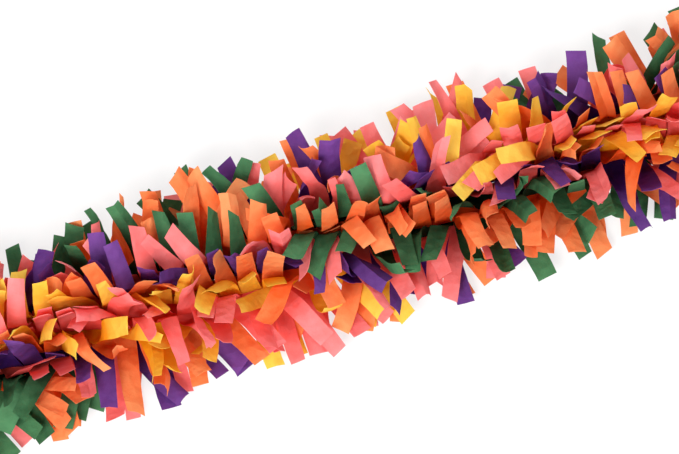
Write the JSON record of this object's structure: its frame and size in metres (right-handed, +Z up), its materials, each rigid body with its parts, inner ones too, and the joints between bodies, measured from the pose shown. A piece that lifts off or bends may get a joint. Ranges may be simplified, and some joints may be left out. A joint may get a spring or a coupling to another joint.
{
  "type": "tissue paper garland",
  "caption": "Fringed tissue paper garland: a stack of bright paper plies slit along both edges, sewn down the middle, twisted and fluffed into a ragged tube of strips.",
  "frame": {"origin": "centre of the garland's length and width, on the surface that it lies on", "axes": "+X along the seam, +Z up from the surface"},
  "size_m": [0.4873, 0.1324, 0.0866],
  "materials": {
    "pink_tissue": "coral pink tissue paper, thin and lightly crinkled",
    "orange_tissue": "orange tissue paper, thin and lightly crinkled",
    "yellow_tissue": "warm yellow tissue paper, thin and lightly crinkled",
    "green_tissue": "deep green tissue paper, thin and lightly crinkled",
    "purple_tissue": "purple tissue paper, thin and lightly crinkled",
    "sewing_thread": "plain off-white sewing thread"
  },
  "bodies": {
    "root": {"pink_ply_lower": "pink_tissue", "orange_ply_lower": "orange_tissue", "yellow_ply": "yellow_tissue", "green_ply": "green_tissue", "orange_ply_upper": "orange_tissue", "pink_ply_upper": "pink_tissue", "purple_ply": "purple_tissue", "needle_thread": "sewing_thread", "bobbin_thread": "sewing_thread"}
  },
  "joints": []
}
